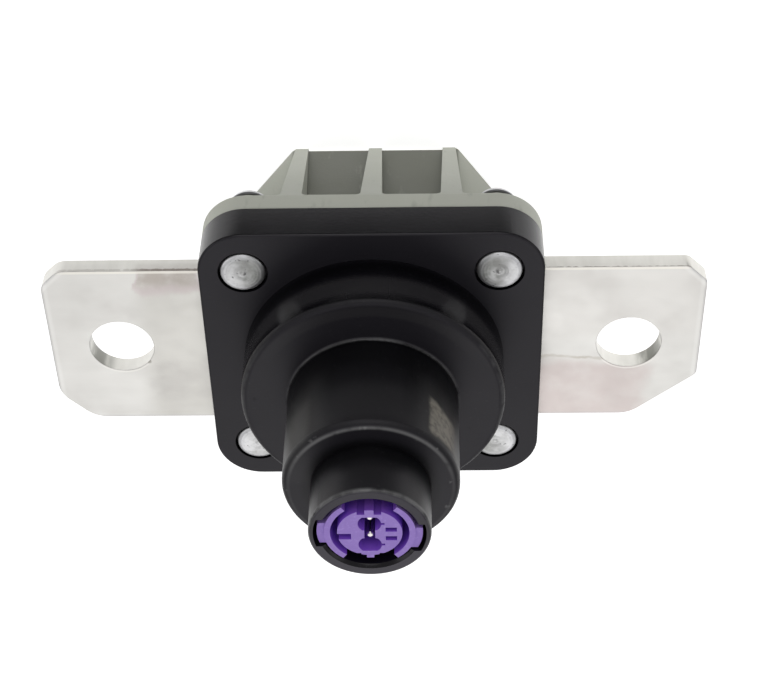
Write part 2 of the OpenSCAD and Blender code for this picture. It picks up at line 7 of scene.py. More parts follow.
import bmesh
import bpy
from mathutils import Matrix, Vector

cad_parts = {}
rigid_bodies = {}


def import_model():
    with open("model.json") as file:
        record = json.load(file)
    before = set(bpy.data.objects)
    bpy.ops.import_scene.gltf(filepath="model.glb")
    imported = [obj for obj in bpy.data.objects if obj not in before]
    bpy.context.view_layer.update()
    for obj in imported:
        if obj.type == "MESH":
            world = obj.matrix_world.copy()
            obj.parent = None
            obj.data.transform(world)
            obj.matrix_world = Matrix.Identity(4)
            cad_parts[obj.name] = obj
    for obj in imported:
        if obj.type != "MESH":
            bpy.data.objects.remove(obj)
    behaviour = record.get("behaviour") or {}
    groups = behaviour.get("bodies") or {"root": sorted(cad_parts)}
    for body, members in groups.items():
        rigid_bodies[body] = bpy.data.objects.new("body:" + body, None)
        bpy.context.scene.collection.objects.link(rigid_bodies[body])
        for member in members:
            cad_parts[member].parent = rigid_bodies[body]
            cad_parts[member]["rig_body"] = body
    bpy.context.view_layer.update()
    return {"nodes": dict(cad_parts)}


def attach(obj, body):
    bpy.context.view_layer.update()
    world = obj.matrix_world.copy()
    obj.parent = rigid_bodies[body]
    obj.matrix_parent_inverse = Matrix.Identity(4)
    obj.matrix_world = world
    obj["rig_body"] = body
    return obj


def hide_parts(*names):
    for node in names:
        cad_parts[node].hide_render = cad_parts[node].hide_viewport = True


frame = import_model()

# Camera: it looks down the nose at an angle from the +Y side and is held upside down,
# so that the nose points down in the picture and the busbar lies across it.
CAMERA_TARGET = Vector((0.00122, -0.00005, 0.02936))
CAMERA_DISTANCE = 0.2402
CAMERA_AZIMUTH = math.radians(177.89)
CAMERA_ELEVATION = math.radians(48.34)
CAMERA_ROLL = math.radians(-178.89)
CAMERA_LENS = 84.97
CAMERA_SENSOR = 36.0


def direction(azimuth, elevation):
    """Unit vector from the object towards a place round it."""
    flat = math.cos(elevation)
    return Vector((math.sin(azimuth) * flat, -math.cos(azimuth) * flat, math.sin(elevation)))


camera_data = bpy.data.cameras.new("camera")
camera_data.lens = CAMERA_LENS
camera_data.sensor_width = CAMERA_SENSOR
camera = bpy.data.objects.new("camera", camera_data)
bpy.context.scene.collection.objects.link(camera)
bpy.context.scene.camera = camera
towards_camera = direction(CAMERA_AZIMUTH, CAMERA_ELEVATION)
camera.rotation_mode = "QUATERNION"
upright = (-towards_camera).to_track_quat("-Z", "Y")
camera.rotation_quaternion = upright @ Matrix.Rotation(CAMERA_ROLL, 4, "Z").to_quaternion()
camera.location = CAMERA_TARGET + towards_camera * CAMERA_DISTANCE

# Studio: an even white room, large soft lamps and a lit white table. The table glows a little,
# as an acrylic one does when it is lit from below. A dark card lies on the camera's side,
# out of the picture, and keeps the walls of the nose dark.
ROOM_LIGHT = 0.42
SHEET_ROUGHNESS = 0.9
SHEET_SPECULAR = 0.1
SOFT_LAMPS = (
    # name, azimuth, elevation, distance, diameter, brightness
    ("lamp_facing_camera", 0, 42, 0.60, 0.55, 0.90),
    ("lamp_over_camera", 178, 78, 0.60, 0.30, 1.0),
    ("lamp_left", 262, 35, 0.60, 0.30, 1.0),
    ("lamp_right", 98, 35, 0.60, 0.30, 0.8),
    ("lamp_low", 180, 24, 0.60, 0.50, 1.15),
)
SHEETS = (
    # name, left, right, near, far, height, tone, glow
    ("table", -1.5, 1.5, -1.5, 1.5, 0, 0.85, 0.68),
    ("dark_card", -0.15, 0.15, 0.041, 0.20, 0.001, 0.17, 0),
)

world = bpy.data.worlds.new("studio")
world.use_nodes = True
bpy.context.scene.world = world
world.node_tree.nodes["Background"].inputs["Color"].default_value = (1, 1, 1, 1)
world.node_tree.nodes["Background"].inputs["Strength"].default_value = ROOM_LIGHT
bpy.context.scene.view_settings.view_transform = "Standard"

for name, azimuth, elevation, distance, diameter, brightness in SOFT_LAMPS:
    lamp_data = bpy.data.lights.new(name, "AREA")
    lamp_data.shape = "DISK"
    lamp_data.size = diameter
    # The power that gives a disk of this size its brightness
    lamp_data.energy = brightness * math.pi * math.pi * diameter**2 / 4
    lamp = bpy.data.objects.new(name, lamp_data)
    bpy.context.scene.collection.objects.link(lamp)
    towards_lamp = direction(math.radians(azimuth), math.radians(elevation))
    lamp.location = CAMERA_TARGET + towards_lamp * distance
    lamp.rotation_mode = "QUATERNION"
    lamp.rotation_quaternion = towards_lamp.to_track_quat("Z", "Y")

for name, left, right, near, far, height, tone, glow in SHEETS:
    sheet_data = bpy.data.meshes.new(name)
    corners = ((left, near, height), (right, near, height), (right, far, height), (left, far, height))
    sheet_data.from_pydata(corners, [], [(0, 1, 2, 3)])
    sheet = bpy.data.objects.new(name, sheet_data)
    bpy.context.scene.collection.objects.link(sheet)
    sheet_paint = bpy.data.materials.new(name)
    sheet_paint.use_nodes = True
    sheet_shader = sheet_paint.node_tree.nodes["Principled BSDF"]
    sheet_shader.inputs["Base Color"].default_value = (tone, tone, tone, 1)
    sheet_shader.inputs["Roughness"].default_value = SHEET_ROUGHNESS
    sheet_shader.inputs["Specular IOR Level"].default_value = SHEET_SPECULAR
    sheet_shader.inputs["Emission Color"].default_value = (1, 1, 1, 1)
    sheet_shader.inputs["Emission Strength"].default_value = glow
    sheet_data.materials.append(sheet_paint)

# Lower housing: the grey cup that takes the cut-out piece of the busbar. It is injection moulded
# in glass-filled plastic, with gusset ribs up to the flange and a boss under each rivet. The
# walls between the ribs are a little glossier than the ribs, and are painted darker as shade.
GREY_EDGE = 0.00028
BLOCK_HALF_X = 0.0112
BLOCK_HALF_Y = 0.0118
CUP_HEIGHT = 0.0229
SPLIT_HEIGHT = 0.0259
SAME_POINT = 0.000001
FLAT_ANGLE = math.radians(0.5)
SHARP_ANGLE = math.radians(28)
RIB_GREYS = (0.378, 0.388, 0.337), (0.436, 0.446, 0.394)
POCKET_SHADE_GREYS = (0.125, 0.130, 0.098), (0.165, 0.168, 0.148)
FLANGE_LIT_GREY = (0.52, 0.53, 0.465)
FIBRE_GREY = (0.27, 0.275, 0.24)
DIRT_GREY = (0.20, 0.20, 0.17)


class Value:
    """A socket of a node tree. Arithmetic on it adds Math nodes, so shader maths reads as maths."""

    def __init__(self, tree, socket):
        self.tree = tree
        self.socket = socket

    def node(self, kind, settings=None, sockets=None, output=0):
        """A new node of this kind; its settings are set first, then its sockets' values or links."""
        made = self.tree.nodes.new(kind)
        for name, setting in (settings or {}).items():
            setattr(made, name, setting)
        for name, given in (sockets or {}).items():
            if isinstance(given, Value):
                self.tree.links.new(given.socket, made.inputs[name])
            else:
                made.inputs[name].default_value = given
        return Value(self.tree, made.outputs[output])

    def math(self, operation, *operands):
        return self.node("ShaderNodeMath", {"operation": operation}, dict(enumerate((self, *operands))))

    def __add__(self, other):
        return self.math("ADD", other)

    def __sub__(self, other):
        return self.math("SUBTRACT", other)

    def __rsub__(self, other):
        return self * -1 + other

    def __mul__(self, other):
        return self.math("MULTIPLY", other)

    def __pow__(self, other):
        return self.math("POWER", other)

    def __abs__(self):
        return self.math("ABSOLUTE")

    __radd__ = __add__
    __rmul__ = __mul__

    def above(self, other):
        """The larger of the two."""
        return self.math("MAXIMUM", other)

    def axes(self):
        """The X, Y and Z of a vector."""
        split = self.node("ShaderNodeSeparateXYZ", sockets={0: self})
        return [Value(self.tree, output) for output in split.socket.node.outputs]

    def vector(self, *others):
        """The vector whose X is this value and whose Y and Z are the others, or 0."""
        return self.node("ShaderNodeCombineXYZ", sockets=dict(enumerate((self, *others))))

    def rise(self, low, high):
        """0 below low, 1 above high and smooth between; low may be the larger."""
        sockets = {"Value": self, "From Min": low, "From Max": high}
        return self.node("ShaderNodeMapRange", {"interpolation_type": "SMOOTHSTEP"}, sockets)

    def near(self, value, reach):
        """1 at this value, falling to 0 at this distance from it."""
        return abs(self - value).rise(reach, 0)

    def between(self, low, high, soft):
        """1 between low and high, falling to 0 over the soft distance outside them."""
        return self.rise(low - soft, low) * self.rise(high + soft, high)

    def noise(self, scale, detail=2.0, stretch=(1, 1, 1), shift=(0, 0, 0)):
        """Noise from 0 to 1 over this vector: scale is per metre, and stretch multiplies it by axis."""
        placed = self.node("ShaderNodeMapping", sockets={0: self, "Scale": stretch, "Location": shift})
        sockets = {"Vector": placed, "Scale": scale, "Detail": detail}
        return self.node("ShaderNodeTexNoise", sockets=sockets)

    def mix(self, low, high):
        """The colour low where this mask is 0 and high where it is 1: a Value, or red, green, blue."""
        low, high = (colour if isinstance(colour, Value) else (*colour, 1) for colour in (low, high))
        return self.node("ShaderNodeMix", {"data_type": "RGBA"}, {0: self, 6: low, 7: high}, output=2)

    def bump(self, distance, strength=1.0):
        """A normal from this value as a height, which is distance metres at 1."""
        sockets = {"Height": self, "Distance": distance, "Strength": strength}
        return self.node("ShaderNodeBump", sockets=sockets)


class Finish:
    """A material with one Principled shader, whose sockets are set by name."""

    def __init__(self, name, **fixed):
        self.material = bpy.data.materials.new(name)
        self.material.use_nodes = True
        self.tree = self.material.node_tree
        self.shader = self.tree.nodes["Principled BSDF"]
        coordinates = self.tree.nodes.new("ShaderNodeTexCoord")
        self.place = Value(self.tree, coordinates.outputs["Object"])
        geometry = self.tree.nodes.new("ShaderNodeNewGeometry")
        self.normal = Value(self.tree, geometry.outputs["True Normal"])
        for socket, value in fixed.items():
            self.set(socket.replace("_", " "), value)

    def set(self, socket, value):
        if isinstance(value, Value):
            self.tree.links.new(value.socket, self.shader.inputs[socket])
        else:
            self.shader.inputs[socket].default_value = value


def softened(node, width, finish, segments=2):
    """Stands in for a CAD node: a merged copy whose sharp edges are rounded by this width."""
    piece_data = frame["nodes"][node].data.copy()
    merged = bmesh.new()
    merged.from_mesh(piece_data)
    bmesh.ops.remove_doubles(merged, verts=merged.verts, dist=SAME_POINT)
    bmesh.ops.dissolve_limit(merged, angle_limit=FLAT_ANGLE, verts=merged.verts, edges=merged.edges)
    merged.to_mesh(piece_data)
    merged.free()
    piece_data.materials.clear()
    piece_data.materials.append(finish.material)
    piece_data.shade_smooth()
    piece = bpy.data.objects.new(node + "_finished", piece_data)
    bpy.context.scene.collection.objects.link(piece)
    rounding = piece.modifiers.new("rounded edges", "BEVEL")
    rounding.width = width
    rounding.segments = segments
    rounding.limit_method = "ANGLE"
    rounding.angle_limit = SHARP_ANGLE
    rounding.use_clamp_overlap = True
    rounding.miter_outer = "MITER_ARC"
    even = piece.modifiers.new("even faces", "WEIGHTED_NORMAL")
    even.weight = 100
    graph = bpy.context.evaluated_depsgraph_get()
    rounded = bpy.data.meshes.new_from_object(piece.evaluated_get(graph))
    piece.modifiers.clear()
    piece.data = rounded
    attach(piece, frame["nodes"][node]["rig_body"])
    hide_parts(node)


grey_plastic = Finish("moulded_grey_plastic", Specular_IOR_Level=0.35)
x, y, z = grey_plastic.place.axes()
off_wall = (abs(x) - BLOCK_HALF_X).above(abs(y) - BLOCK_HALF_Y)
pocket = off_wall.between(-0.0004, 0.0001, 0.0005)
pocket = pocket * z.rise(0.0002, 0.0007) * z.rise(CUP_HEIGHT + 0.0002, CUP_HEIGHT - 0.0002)
flange = z.rise(CUP_HEIGHT - 0.0001, CUP_HEIGHT + 0.0003)
fibres = grey_plastic.place.noise(700, detail=5, stretch=(1, 1, 0.3))
clouds = grey_plastic.place.noise(90, detail=3, shift=(0.2, 0, 0))
dirt = z.rise(SPLIT_HEIGHT - 0.0004, SPLIT_HEIGHT) * clouds.rise(0.3, 0.6)
# The walls between the ribs are painted darker: painted shade in the recesses
tone = pocket.mix(clouds.mix(*RIB_GREYS), clouds.mix(*POCKET_SHADE_GREYS))
# The flange is painted lighter than the ribs below it: painted light
tone = (0.5 * flange).mix(tone, FLANGE_LIT_GREY)
tone = (0.5 * fibres.rise(0.60, 0.78)).mix(tone, FIBRE_GREY)
grey_plastic.set("Base Color", (0.4 * dirt).mix(tone, DIRT_GREY))
grey_plastic.set("Roughness", 0.48 + 0.2 * grey_plastic.place.noise(260) - 0.1 * pocket)
skin = grey_plastic.place.noise(2600, detail=3) + 0.6 * fibres
grey_plastic.set("Normal", skin.bump(0.00002))
softened("lower_housing", GREY_EDGE, grey_plastic)

# Seals: strips moulded in red silicone rubber, one round the chamber and one over the busbar on
# each side of it. They lie squeezed between the housings and keep the arc's gas in. A pale
# bloom lies on them in patches.
SEAL_EDGE = 0.00012
SILICONE_REDS = (0.26, 0.045, 0.03), (0.36, 0.10, 0.07)
red_rubber = Finish("red_silicone", Specular_IOR_Level=0.4)
bloom = red_rubber.place.noise(420, detail=4)
red_rubber.set("Base Color", bloom.rise(0.45, 0.7).mix(*SILICONE_REDS))
red_rubber.set("Roughness", 0.55 + 0.2 * bloom)
red_rubber.set("Normal", red_rubber.place.noise(3000).bump(0.00001))
for seal in ("perimeter_seal", "left_slot_seal", "right_slot_seal"):
    softened(seal, SEAL_EDGE, red_rubber)

# Busbar: a copper strip, rolled, punched and plated with tin. The punch leaves a rough wall in
# the holes and along the sides, a rolled edge above, with a painted highlight, and a torn dark burr
# beside it.
BAR_EDGE = 0.0002
BAR_TOP = 0.0283
BAR_HALF_LENGTH = 0.0432
BAR_HALF_WIDTH = 0.0129
BACK_CHAMFER = 0.0024
BOLT_HOLE_X = 0.03375
BOLT_HOLE_RADIUS = 0.0043
TIN_TONES = (0.755, 0.74, 0.71), (0.83, 0.82, 0.79)
SMUDGE_GREY = (0.70, 0.68, 0.65)
STAIN_AND_SHADE_GREY = (0.66, 0.645, 0.605)
CLEAN_TIN = (0.86, 0.825, 0.79)
STAIN_BROWN = (0.45, 0.40, 0.36)
STAIN_VIOLET = (0.66, 0.55, 0.58)
STAIN_GREY = (0.52, 0.50, 0.48)
BLUSH_PINK = (0.66, 0.585, 0.565)
SEAM_BROWN = (0.42, 0.37, 0.29)
BACK_EDGE_HIGHLIGHT = (0.97, 0.94, 0.86)
RUBBED_GREY = (0.60, 0.58, 0.59)
END_SHADE_GREY = (0.52, 0.515, 0.52)
END_HIGHLIGHT_BRIGHT = (0.98, 0.97, 0.95)
HOLE_RIM_HIGHLIGHT = (0.97, 0.95, 0.90)
NICK_DARK = (0.28, 0.26, 0.23)
PUNCHED_TONES = (0.60, 0.59, 0.55), (0.80, 0.785, 0.745)
HOLE_END_DARK = (0.24, 0.24, 0.22)
SIDE_BROWN = (0.46, 0.43, 0.40)
SIDE_GREY = (0.57, 0.565, 0.54)
BURR_DARK = (0.16, 0.13, 0.11)
plated = Finish("tin_plated_copper", Metallic=1.0)
x, y, z = plated.place.axes()
facing = plated.normal.axes()
side = abs(facing[2]).rise(0.7, 0.4)
from_hole = ((abs(x) - BOLT_HOLE_X) ** 2 + y**2) ** 0.5
rolled = plated.place.noise(50, detail=5, stretch=(1, 9, 9))
smudges = plated.place.noise(120, detail=3, shift=(3.1, 0.4, 0))
grain = plated.place.noise(900, detail=4, stretch=(0.6, 1, 1))
torn = plated.place.noise(900, detail=4, stretch=(1, 1, 0.25))
tin = rolled.mix(*TIN_TONES)
tin = (0.6 * smudges.rise(0.5, 0.75)).mix(tin, SMUDGE_GREY)
# Heat stains from plating: one dark at the back of the left tab with a violet fringe, paler
# ones farther forward. The back of the right tab stayed clean.
wander = plated.place.noise(260, detail=4, shift=(0.7, 0.2, 0)) - 0.5
blotches = plated.place.noise(330, detail=5, shift=(1.3, 0.9, 0))
along = x + 0.004 * wander
across = y - 0.003 * wander
ragged = blotches.rise(0.30, 0.62) * 0.6 + 0.4
warm_side = x.between(-0.0285, -0.0200, 0.0040) * y.rise(0.0120, 0.0070)
clean_side = x.rise(0.0190, 0.0240) * y.rise(-0.0010, 0.0030)
dark_stain = along.between(-0.0302, -0.0228, 0.0009) * (across - 0.12 * x).rise(0.0112, 0.0150)
pale_stain = along.between(-0.0288, -0.0200, 0.0020) * across.between(-0.0085, -0.0035, 0.0020)
blush = along.between(0.0180, 0.0345, 0.0035) * across.rise(-0.0022, -0.0048) * (0.6 + 0.4 * ragged)
seam = along.between(0.0180, 0.0300, 0.0014) * (across + 0.0028).near(0.0002, 0.0005)
# The left tab is darker near the flange: partly a stain, partly painted shade from the flange
tin = (0.75 * warm_side).mix(tin, STAIN_AND_SHADE_GREY)
tin = (0.20 * clean_side).mix(tin, CLEAN_TIN)
tin = (0.80 * dark_stain * ragged).mix(tin, STAIN_BROWN)
tin = (0.35 * dark_stain.near(0.5, 0.45)).mix(tin, STAIN_VIOLET)
tin = (0.40 * pale_stain * ragged).mix(tin, STAIN_GREY)
tin = (0.85 * blush).mix(tin, BLUSH_PINK)
tin = (0.50 * seam * ragged).mix(tin, SEAM_BROWN)
# Long edges: a painted highlight along the back edge, rubbed grey in front
lip = (y - BAR_HALF_WIDTH).rise(-0.00050, -0.00030) * z.rise(BAR_TOP - 0.00006, BAR_TOP)
rubbed = (y + BAR_HALF_WIDTH).rise(0.00045, 0.00010)
tin = (0.7 * lip).mix(tin, BACK_EDGE_HIGHLIGHT)
tin = (0.5 * rubbed).mix(tin, RUBBED_GREY)
# Ends: a painted highlight a little way in from the outline, with a painted shade line along it
to_end = BAR_HALF_LENGTH - abs(x)
to_chamfer = (BAR_HALF_LENGTH + BAR_HALF_WIDTH - BACK_CHAMFER - abs(x) - y) * math.sqrt(0.5)
outline = to_end.near(0.00008, 0.00034) + to_chamfer.near(0.00008, 0.00034)
end_highlight = to_end.between(0.00050, 0.00060, 0.0004) + to_chamfer.between(0.00050, 0.00060, 0.0004)
tin = (0.55 * outline).mix(tin, END_SHADE_GREY)
tin = (0.25 * end_highlight).mix(tin, END_HIGHLIGHT_BRIGHT)
# Holes: a painted highlight on the rim in front, and a nick in the left one
rim = from_hole.near(BOLT_HOLE_RADIUS + 0.0002, 0.00022) * y.rise(-0.0026, -0.0036)
nick = (((x + 0.0304) ** 2 + (y + 0.0027) ** 2) ** 0.5).rise(0.00045, 0.00020)
tin = (0.6 * rim).mix(tin, HOLE_RIM_HIGHLIGHT)
tin = (0.7 * nick).mix(tin, NICK_DARK)
# The punched walls: pale, darker in patches at the outer end of each hole, and stained
# behind the left tab, whose wall is greyer than the right one's
far_end = (abs(x) - BOLT_HOLE_X).between(0.0022, 0.0040, 0.0012)
far_end = far_end * from_hole.rise(BOLT_HOLE_RADIUS + 0.0007, BOLT_HOLE_RADIUS + 0.0003)
side_stain = x.between(-0.0300, -0.0205, 0.0012) * z.rise(SPLIT_HEIGHT + 0.0003, SPLIT_HEIGHT + 0.0013)
side_stain = side_stain * ragged * y.rise(BAR_HALF_WIDTH - 0.0009, BAR_HALF_WIDTH - 0.0004)
punched = torn.mix(*PUNCHED_TONES)
punched = (0.75 * far_end * torn.rise(0.25, 0.55)).mix(punched, HOLE_END_DARK)
punched = (0.6 * side_stain).mix(punched, SIDE_BROWN)
punched = (0.35 * x.rise(-0.0150, -0.0220)).mix(punched, SIDE_GREY)
tin = side.mix(tin, punched)
# The burr: a jagged dark line under the back edge, deeper to the left
jagged = x.vector().noise(1100, detail=5)
torn_depth = 0.00014 + 0.00034 * x.rise(-0.0100, -0.0240)
burr_low = BAR_TOP - torn_depth - 0.0006 * (jagged - 0.5)
burr = (z - burr_low).rise(-0.00006, 0.00004) * z.rise(BAR_TOP - 0.00004, BAR_TOP - 0.00008)
burr = burr * (y - BAR_HALF_WIDTH).rise(-0.0003, -0.0001)
burr = burr * (0.35 + 0.65 * x.rise(-0.0315, -0.0290)) * jagged.rise(0.36, 0.46)
plated.set("Base Color", (0.75 * burr).mix(tin, BURR_DARK))
plated.set("Roughness", 0.30 + 0.16 * smudges - 0.08 * side + 0.10 * grain)
relief = 0.5 * rolled + 0.25 * grain + side * torn
plated.set("Normal", relief.bump(0.00002, 0.7))
softened("busbar", BAR_EDGE, plated, segments=3)

# Upper housing: the black cover, injection moulded in glass-filled plastic, with a stepped nose
# that ends in the plug socket. The nose is glossier than the flange, and the edges of its steps
# carry thin pale lines, partly wear and partly painted highlight.
BLACK_EDGE = 0.00012
FACE_HEIGHT = 0.0314
SHOULDER_RADIUS = 0.0170
SHOULDER_HEIGHT = 0.0396
BARREL_RADIUS = 0.01095
BARREL_HEIGHT = 0.0548
MOUTH_RADIUS = 0.0074
MOUTH_HEIGHT = 0.0624
BLACKS = (0.0030, 0.0028, 0.0040), (0.0056, 0.0052, 0.0070)
FACE_BLACK = (0.0140, 0.0128, 0.0168)
SHADE_BLACK = (0.0006, 0.0006, 0.0012)
SHEEN_GREY = (0.024, 0.023, 0.025)
RIM_REFLECTION_GREY = (0.052, 0.048, 0.060)
SPECK_GREY = (0.035, 0.035, 0.037)
WEAR_AND_HIGHLIGHT_GREY = (0.30, 0.30, 0.30)
LEFT_SHEEN_GREY = (0.09, 0.09, 0.085)
TAB_REFLECTION_GREY = (0.20, 0.185, 0.155)
COOL_TINT = (0.98, 0.95, 1, 1)
black_plastic = Finish("moulded_black_plastic", Specular_IOR_Level=0.31, Specular_Tint=COOL_TINT)
x, y, z = black_plastic.place.axes()
radius = (x**2 + y**2) ** 0.5
facing = black_plastic.normal.axes()
flat = facing[2].rise(0.70, 0.95)
wall = facing[2].rise(0.6, 0.2)
nose = z.rise(FACE_HEIGHT, FACE_HEIGHT + 0.001)
behind = y.rise(0.0060, 0.0120)
clouds = black_plastic.place.noise(120, detail=3)
specks = black_plastic.place.noise(2100, detail=2)
patchy = black_plastic.place.noise(420, detail=4, shift=(0.3, 0.1, 0))
# Pale lines on the step edges and round the barrel's root, broken by patches: wear and painted highlights
shoulder_edge = radius.near(SHOULDER_RADIUS - 0.0004, 0.00035) * z.near(SHOULDER_HEIGHT - 0.00022, 0.0004)
barrel_root = radius.near(BARREL_RADIUS + 0.00015, 0.00032) * z.near(SHOULDER_HEIGHT + 0.0002, 0.0003)
barrel_edge = radius.near(BARREL_RADIUS - 0.00075, 0.0004) * z.near(BARREL_HEIGHT, 0.0004)
mouth_edge = radius.near(MOUTH_RADIUS - 0.0001, 0.00026) * z.near(MOUTH_HEIGHT - 0.00025, 0.0005)
worn_and_highlight = 0.5 * shoulder_edge * (1 - behind) + 0.6 * barrel_root + 1.5 * mouth_edge
worn_and_highlight = worn_and_highlight * patchy.rise(0.28, 0.60)
worn_and_highlight = worn_and_highlight + (0.4 + y.rise(0.0, 0.0080)) * barrel_edge * patchy.rise(0.10, 0.50)
# Scuffs on the barrel's face, and scratches down the nose that only its gloss shows
scuffed = radius.between(BARREL_RADIUS - 0.00115, BARREL_RADIUS - 0.00035, 0.0003)
scuffed = scuffed * z.rise(BARREL_HEIGHT - 0.0005, BARREL_HEIGHT - 0.0002) * patchy.rise(0.60, 0.68)
scratches = black_plastic.place.noise(500, detail=3, stretch=(1, 1, 0.05)).rise(0.68, 0.74)
# A painted reflection of the right tab, mottled, on the right of the barrel
reflection_mottle = black_plastic.place.noise(1300, detail=5, shift=(0.2, 0.5, 0)).rise(0.30, 0.60)
ragged = 0.0011 * (patchy - 0.5)
tab_reflection = (x + 0.5 * ragged).rise(0.0070, 0.0076) * x.rise(0.0108, 0.0094)
tab_reflection = tab_reflection * (y + ragged).rise(0.0008, 0.0030)
tab_reflection = tab_reflection * (z - 0.35 * x + ragged).rise(0.0442, 0.0454) * (z + ragged).rise(0.0537, 0.0528)
tab_reflection = tab_reflection * (0.5 + 0.5 * reflection_mottle)
# A painted reflection: a pale streak on the left of the barrel
oil_and_sheen = x.between(-0.0094, -0.0080, 0.0012) * y.rise(0.0, 0.0020) * z.between(0.0490, 0.0530, 0.0030)
# Painted shade: the roots of the steps, the barrel's sides and the flanks are painted darker
shoulder_wall = wall * radius.near(SHOULDER_RADIUS, 0.0006)
barrel_wall = wall * radius.near(BARREL_RADIUS, 0.0006)
mouth_root = z.between(BARREL_HEIGHT - 0.0001, BARREL_HEIGHT + 0.0016, 0.0012)
root = shoulder_wall * nose * z.rise(FACE_HEIGHT + 0.0036, FACE_HEIGHT + 0.0014)
root = root + shoulder_wall * z.near(SHOULDER_HEIGHT - 0.0004, 0.0012)
root = root + barrel_wall * z.rise(SHOULDER_HEIGHT + 0.0075, SHOULDER_HEIGHT + 0.0030)
root = root + 0.8 * barrel_wall * abs(x).rise(0.0035, 0.0060)
root = root + mouth_root * radius.rise(MOUTH_RADIUS + 0.0016, MOUTH_RADIUS + 0.0002)
root = root + 0.8 * wall * (1 - nose) * abs(x).rise(0.0120, 0.0170)
# Painted sheen: bands of painted reflection halfway up the walls, and one on the shoulder's face
shoulder_band = radius.near(SHOULDER_RADIUS, 0.0003) * z.between(0.0355, 0.0372, 0.0014)
barrel_band = radius.near(BARREL_RADIUS, 0.0003) * z.between(0.0490, 0.0525, 0.0030)
barrel_band = barrel_band * abs(x).rise(0.0065, 0.0030)
face_band = radius.between(SHOULDER_RADIUS - 0.0021, SHOULDER_RADIUS - 0.0012, 0.0006) * flat * behind
mouth_band = radius.near(MOUTH_RADIUS, 0.0003) * z.between(0.0590, 0.0612, 0.0015)
painted_sheen = 1.5 * shoulder_band + 0.8 * barrel_band + face_band + 0.5 * mouth_band
# The mouth's rim is painted lighter, most at the front: painted reflection
mouth_rim = flat * z.rise(MOUTH_HEIGHT - 0.0006, MOUTH_HEIGHT - 0.0002)
mouth_rim = mouth_rim * (0.6 + 0.4 * y.rise(0.0020, -0.0040))
tone = clouds.mix(*BLACKS)
tone = (0.7 * flat).mix(tone, FACE_BLACK)
tone = root.mix(tone, SHADE_BLACK)
tone = (0.6 * painted_sheen).mix(tone, SHEEN_GREY)
tone = mouth_rim.mix(tone, RIM_REFLECTION_GREY)
tone = (0.25 * specks.rise(0.66, 0.74)).mix(tone, SPECK_GREY)
tone = (0.30 * worn_and_highlight + 0.25 * scuffed).mix(tone, WEAR_AND_HIGHLIGHT_GREY)
tone = (0.25 * oil_and_sheen).mix(tone, LEFT_SHEEN_GREY)
black_plastic.set("Base Color", (0.85 * tab_reflection).mix(tone, TAB_REFLECTION_GREY))
# The gloss is dulled on flat faces, on the upper walls and where the edges are rounded
shoulder_round = radius.near(SHOULDER_RADIUS - 0.0002, 0.0008) * z.near(SHOULDER_HEIGHT - 0.0002, 0.0008)
barrel_round = radius.near(BARREL_RADIUS - 0.0003, 0.0007) * z.near(BARREL_HEIGHT - 0.0003, 0.0007)
upper_wall = wall * z.rise(SHOULDER_HEIGHT, SHOULDER_HEIGHT + 0.001)
dull = 0.19 + 0.10 * clouds + 0.20 * flat + 0.16 * upper_wall
dull = dull + 0.28 * (shoulder_round + barrel_round) + 0.12 * scratches * nose
black_plastic.set("Roughness", dull)
black_plastic.set("Normal", (specks + 2.5 * clouds).bump(0.000008))
softened("upper_housing", BLACK_EDGE, black_plastic)

# Plug retainer: a moulded insert whose colour tells which plug fits, clicked into the socket
# with its two ears. Its faces are slightly grainy, and its slots' walls are painted darker as shade.
PURPLE_EDGE = 0.00005
SLOTS_RADIUS = 0.0052
PURPLES = (0.30, 0.185, 0.60), (0.37, 0.235, 0.68)
GRAIN_PURPLE = (0.42, 0.29, 0.74)
SHADED_PURPLE = (0.24, 0.08, 0.64)
purple_plastic = Finish("moulded_purple_plastic", Specular_IOR_Level=0.4)
x, y, _ = purple_plastic.place.axes()
facing = purple_plastic.normal.axes()
grain = purple_plastic.place.noise(2600, detail=3)
clouds = purple_plastic.place.noise(500, detail=2)
radius = (x**2 + y**2) ** 0.5
# The slots' walls are painted darker: painted shade
slot_wall = abs(facing[2]).rise(0.8, 0.3) * radius.rise(SLOTS_RADIUS + 0.0002, SLOTS_RADIUS)
tone = clouds.mix(*PURPLES)
tone = grain.rise(0.5, 0.8).mix(tone, GRAIN_PURPLE)
purple_plastic.set("Base Color", (0.9 * slot_wall).mix(tone, SHADED_PURPLE))
purple_plastic.set("Roughness", 0.42 + 0.2 * grain)
purple_plastic.set("Normal", grain.bump(0.00001))
softened("plug_retainer", PURPLE_EDGE, purple_plastic)

# Rivets: four of aluminium. The heads were formed by a spinning punch, which left a centre nib
# in a shallow ring, faint turning marks and small pits; the factory heads are below.
RIVET_PITCH_X = 0.0325
RIVET_PITCH_Y = 0.0300
RIVET_STEPS = 56
RIVET_CREASE = math.radians(50)
BACK_HEAD_TOP = 0.0183
TURNING_MARKS = 16000
RIVET_PROFILE = (
    # radius and height over the flange's face, in millimetres
    (0.00, 0.19), (0.16, 0.185), (0.28, 0.15), (0.38, 0.10), (0.52, 0.085), (0.78, 0.10),
    (0.98, 0.145), (1.20, 0.17), (1.80, 0.165), (2.30, 0.13), (2.62, 0.06), (2.80, -0.05),
    (2.88, -0.22), (2.90, -0.45), (2.90, -1.20), (2.82, -1.28), (1.80, -1.30), (1.80, -13.10),
    (2.62, -13.10), (2.75, -13.16), (2.80, -13.30), (2.80, -13.55), (2.72, -13.85),
    (2.50, -14.07), (2.10, -14.17), (1.50, -14.20), (0.00, -14.20),
)
ALUMINIUM_TONES = (0.30, 0.30, 0.29), (0.74, 0.74, 0.74)
DARK_REFLECTION_GREY = (0.26, 0.27, 0.25)
RIM_SILVER = (0.72, 0.72, 0.74)
LIT_SIDE_SILVER = (0.92, 0.92, 0.94)
